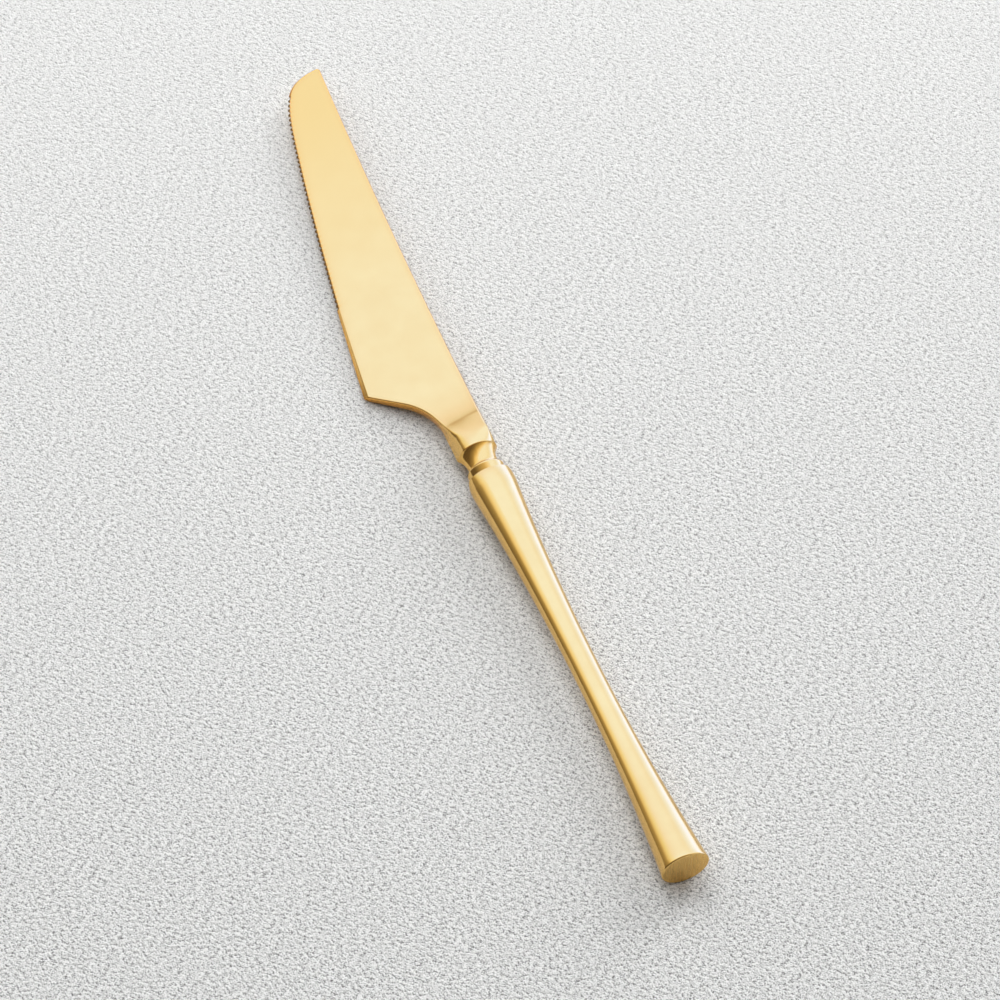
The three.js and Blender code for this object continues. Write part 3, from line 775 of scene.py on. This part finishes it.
camera_data = bpy.data.cameras.new("photo_camera")
camera_data.lens = LENS_MM
camera_data.sensor_width = SENSOR_MM
camera_data.clip_end = 20
camera = bpy.data.objects.new("photo_camera", camera_data)
bpy.context.scene.collection.objects.link(camera)
forward = unit(CAMERA_AIM - CAMERA_PLACE)
right = unit(np.cross(forward, [0, 0, 1]))
above = np.cross(right, forward)
pose = np.eye(4)
pose[:3, :3] = np.stack([right, above, -forward], axis=1)
pose[:3, 3] = CAMERA_PLACE
camera.matrix_world = Matrix(pose.tolist())
bpy.context.scene.camera = camera
print("camera", CAMERA_PLACE, "aim", CAMERA_AIM)

# %% [markdown]
# ## Plaster floor
# The knife lies on a pale, finely rough plaster board. One plane is enough: two fine noises, one of them
# dragged a little in one direction as a trowel does, lift a bump and darken the hollows with painted
# shade. Near the viewer the painted shade in the hollows is deeper and the grain crisper, which stands in
# for the more raking light there, so two colour ramps are mixed along the board.

# %% Place helpers
def direction_dot(tree, source, way):
    """Dot product of a place or direction with a fixed direction."""
    dot = add(tree, "ShaderNodeVectorMath", operation="DOT_PRODUCT")
    dot.inputs[1].default_value = tuple(way)
    tree.links.new(source, dot.inputs[0])
    return dot.outputs["Value"]


def between(tree, value, low, high, kind="SMOOTHSTEP"):
    """Share of the way from low to high."""
    share = add(tree, "ShaderNodeMapRange", interpolation_type=kind)
    share.inputs["From Min"].default_value = low
    share.inputs["From Max"].default_value = high
    tree.links.new(value, share.inputs["Value"])
    return share.outputs["Result"]


print("helpers for places and directions: direction_dot, between")

# %% Floor
FLOOR_HALF = 3.0
STREAK_TURN, STREAK_LENGTH = math.radians(43.5), 1.6
GRAIN_SCALE, GRIT_SCALE, NOISE_ROUGHNESS = 1700.0, 3000.0, 0.65
BOARD_NEAR, BOARD_FAR = -0.13, 0.13
GRAIN_DEPTH = 0.0005

floor_mesh = bpy.data.meshes.new("plaster_floor")
floor_mesh.from_pydata(
    FLOOR_HALF * np.array([(-1, -1, 0), (1, -1, 0), (1, 1, 0), (-1, 1, 0)]), [], [(0, 1, 2, 3)]
)
floor = bpy.data.objects.new("plaster_floor", floor_mesh)
bpy.context.scene.collection.objects.link(floor)
plaster, tree, shader = new_material("pale_plaster")
link = tree.links.new
place = add(tree, "ShaderNodeTexCoord").outputs["Object"]
drag = add(tree, "ShaderNodeMapping", vector_type="TEXTURE", Rotation=(0, 0, STREAK_TURN))
drag.inputs["Scale"].default_value = (STREAK_LENGTH, 1, 1)
grain = add(tree, "ShaderNodeTexNoise", Scale=GRAIN_SCALE, Detail=3.0, Roughness=NOISE_ROUGHNESS)
grit = add(tree, "ShaderNodeTexNoise", Scale=GRIT_SCALE, Detail=2.0, Roughness=NOISE_ROUGHNESS)
relief = add(tree, "ShaderNodeMix", data_type="FLOAT")
relief.inputs["Factor"].default_value = 0.5
link(place, drag.inputs["Vector"])
link(drag.outputs["Vector"], grain.inputs["Vector"])
link(place, grit.inputs["Vector"])
link(grain.outputs["Fac"], relief.inputs[2])
link(grit.outputs["Fac"], relief.inputs[3])
rough = relief.outputs[0]
# Painted shade: both ramps darken the low places of the relief; the near ramp darkens them more, standing
# in for the more raking light near the viewer.
near = colour_ramp(tree, rough, [
    (0.38, (0.12, 0.117, 0.11)), (0.45, (0.50, 0.497, 0.485)),
    (0.52, (0.82, 0.82, 0.805)), (0.60, (0.95, 0.95, 0.935)),
])
far = colour_ramp(tree, rough, [
    (0.38, (0.40, 0.396, 0.385)), (0.45, (0.64, 0.637, 0.625)),
    (0.52, (0.77, 0.77, 0.755)), (0.60, (0.84, 0.84, 0.825)),
])
ahead = unit(forward * [1, 1, 0])
distance = between(tree, direction_dot(tree, place, ahead), BOARD_NEAR, BOARD_FAR, "LINEAR")
link(blend(tree, distance, near, far), shader.inputs["Base Color"])
bump = add(tree, "ShaderNodeBump", Strength=1.0, Distance=GRAIN_DEPTH)
link(rough, bump.inputs["Height"])
link(bump.outputs["Normal"], shader.inputs["Normal"])
shader.inputs["Roughness"].default_value = 0.95
shader.inputs["Specular IOR Level"].default_value = 0.15
floor.data.materials.append(plaster)
print("floor half width, m:", FLOOR_HALF)

# %% [markdown]
# ## Soft lamps
# Four soft lamps light the floor: a big one ahead, nearly in line with the knife, which throws the
# short soft shadow towards the viewer, a low window on the right, a weak fill from the left and a wide
# ceiling over all. They are left out of mirror images, because the room below already draws what the
# metal shows.

# %% Lamps
NEARLY_UP = (0.03, 0.05, 1)


def soft_lamp(name, azimuth, elevation, distance, size, power):
    """Square area lamp that looks at the knife from an azimuth right of the camera's view and an
    elevation, both in degrees."""
    turn, lift = math.radians(azimuth), math.radians(elevation)
    level = math.cos(turn) * ahead + math.sin(turn) * right
    way = math.cos(lift) * level + math.sin(lift) * np.array([0, 0, 1])
    lamp = bpy.data.lights.new(name, "AREA")
    lamp.shape = "SQUARE"
    lamp.size = size
    lamp.energy = power
    holder = bpy.data.objects.new(name, lamp)
    bpy.context.scene.collection.objects.link(holder)
    side = unit(np.cross(NEARLY_UP, way))
    pose = np.eye(4)
    pose[:3, :3] = np.stack([side, np.cross(way, side), way], axis=1)
    pose[:3, 3] = way * distance
    holder.matrix_world = Matrix(pose.tolist())
    holder.visible_glossy = False
    holder.visible_camera = False
    print(name, "at", (way * distance).round(2))


soft_lamp("front_lamp", azimuth=-12, elevation=38, distance=1.5, size=1.0, power=12.2)
soft_lamp("window_lamp", azimuth=38, elevation=20, distance=1.5, size=0.7, power=18.0)
soft_lamp("fill_lamp", azimuth=-58, elevation=30, distance=1.5, size=1.0, power=6.0)
soft_lamp("ceiling_lamp", azimuth=0, elevation=85, distance=2.2, size=3.0, power=35.0)

# %% [markdown]
# ## The room that the metal shows
# Metal shows its surroundings, so the room matters more than the lamps: a bright soft ceiling that
# dims and warms towards the horizon ahead, a low window to the right that draws the white line along
# the handle, and dim warm sides on the left and behind that draw the dark line and the shaded cove. The
# world mixes them by direction, cools them a little as daylight does, and is seen by mirror images only;
# the camera sees plain pale grey.

# %% Bright side of the room
WINDOW_TURN, WINDOW_EDGE, WINDOW_FULL = 0.7, 0.45, 0.80

world = bpy.data.worlds.new("soft_room")
bpy.context.scene.world = world
world.use_nodes = True
tree = world.node_tree
tree.nodes.clear()
direction = add(tree, "ShaderNodeTexCoord").outputs["Generated"]
height = direction_dot(tree, direction, (0, 0, 1))
ceiling = colour_ramp(tree, height, [
    (0.10, (0.54, 0.49, 0.44)), (0.27, (0.71, 0.69, 0.70)), (0.33, (0.86, 0.88, 1.00)),
    (0.41, (0.985, 1.09, 1.41)), (0.56, (1.12, 1.26, 1.87)), (0.79, (1.165, 1.53, 2.68)),
])
window = colour_ramp(tree, height, [
    (0.0, (1.19, 1.55, 2.75)), (0.10, (1.26, 1.70, 3.50)), (0.24, (1.26, 1.85, 4.70)),
    (0.40, (1.20, 1.69, 3.90)), (0.51, (1.13, 1.53, 3.05)), (0.66, (1.13, 1.41, 2.25)),
    (0.78, (1.13, 1.42, 2.20)),
])
window_way = unit(math.cos(WINDOW_TURN) * ahead + math.sin(WINDOW_TURN) * right)
window_share = between(tree, direction_dot(tree, direction, window_way), WINDOW_EDGE, WINDOW_FULL)
bright_room = blend(tree, window_share, ceiling, window)
print("bright side of", world.name)

# %% Dim sides and daylight
DAYLIGHT, BACKDROP = (1.013, 1.04, 1.097), (0.86, 0.86, 0.86, 1)
LIT_SIDE, FRONT_SIDE = (0.72, 0.49, 0.49), (0.95, 0.30, 0.0)


def room_way(shares):
    """Unit direction from shares of the camera's level forward direction, its right and straight up."""
    return unit(shares[0] * ahead + shares[1] * right + shares[2] * np.array([0, 0, 1]))


def darkest(tree, first, second):
    """Lower of two colours, channel by channel."""
    mix = add(tree, "ShaderNodeMix", data_type="RGBA", blend_type="DARKEN")
    mix.inputs["Factor"].default_value = 1.0
    tree.links.new(first, mix.inputs[6])
    tree.links.new(second, mix.inputs[7])
    return mix.outputs[2]


from_left = direction_dot(tree, direction, room_way(LIT_SIDE))
dim_left = colour_ramp(tree, between(tree, from_left, -1, 1, "LINEAR"), [
    (0.09, (0.12, 0.10, 0.075)), (0.325, (0.17, 0.14, 0.10)), (0.405, (0.30, 0.26, 0.18)),
    (0.475, (0.43, 0.38, 0.26)), (0.50, (0.60, 0.55, 0.37)), (0.54, (0.96, 0.93, 0.74)),
    (0.58, (1.12, 1.15, 1.08)), (0.68, (1.16, 1.42, 2.04)), (0.75, (9.0, 9.0, 9.0)),
])
from_behind = direction_dot(tree, direction, room_way(FRONT_SIDE))
dim_behind = colour_ramp(tree, between(tree, from_behind, -1, 1, "LINEAR"), [
    (0.10, (0.17, 0.14, 0.10)), (0.23, (0.32, 0.27, 0.18)), (0.385, (0.78, 0.70, 0.47)),
    (0.47, (1.13, 1.14, 1.13)), (0.55, (1.17, 1.42, 2.20)), (0.60, (9.0, 9.0, 9.0)),
])
room = darkest(tree, darkest(tree, bright_room, dim_left), dim_behind)
cool = add(tree, "ShaderNodeMix", data_type="RGBA", blend_type="MULTIPLY")
cool.inputs["Factor"].default_value = 1.0
cool.inputs[7].default_value = (*DAYLIGHT, 1)
tree.links.new(room, cool.inputs[6])
room = cool.outputs[2]
path = add(tree, "ShaderNodeLightPath")
seen = blend(tree, path.outputs["Is Camera Ray"], room, BACKDROP)
background = add(tree, "ShaderNodeBackground")
tree.links.new(seen, background.inputs["Color"])
output = add(tree, "ShaderNodeOutputWorld")
tree.links.new(background.outputs["Background"], output.inputs["Surface"])
world.cycles_visibility.diffuse = False
bpy.context.scene.view_settings.view_transform = "Standard"
print("room made of", len(tree.nodes), "nodes")
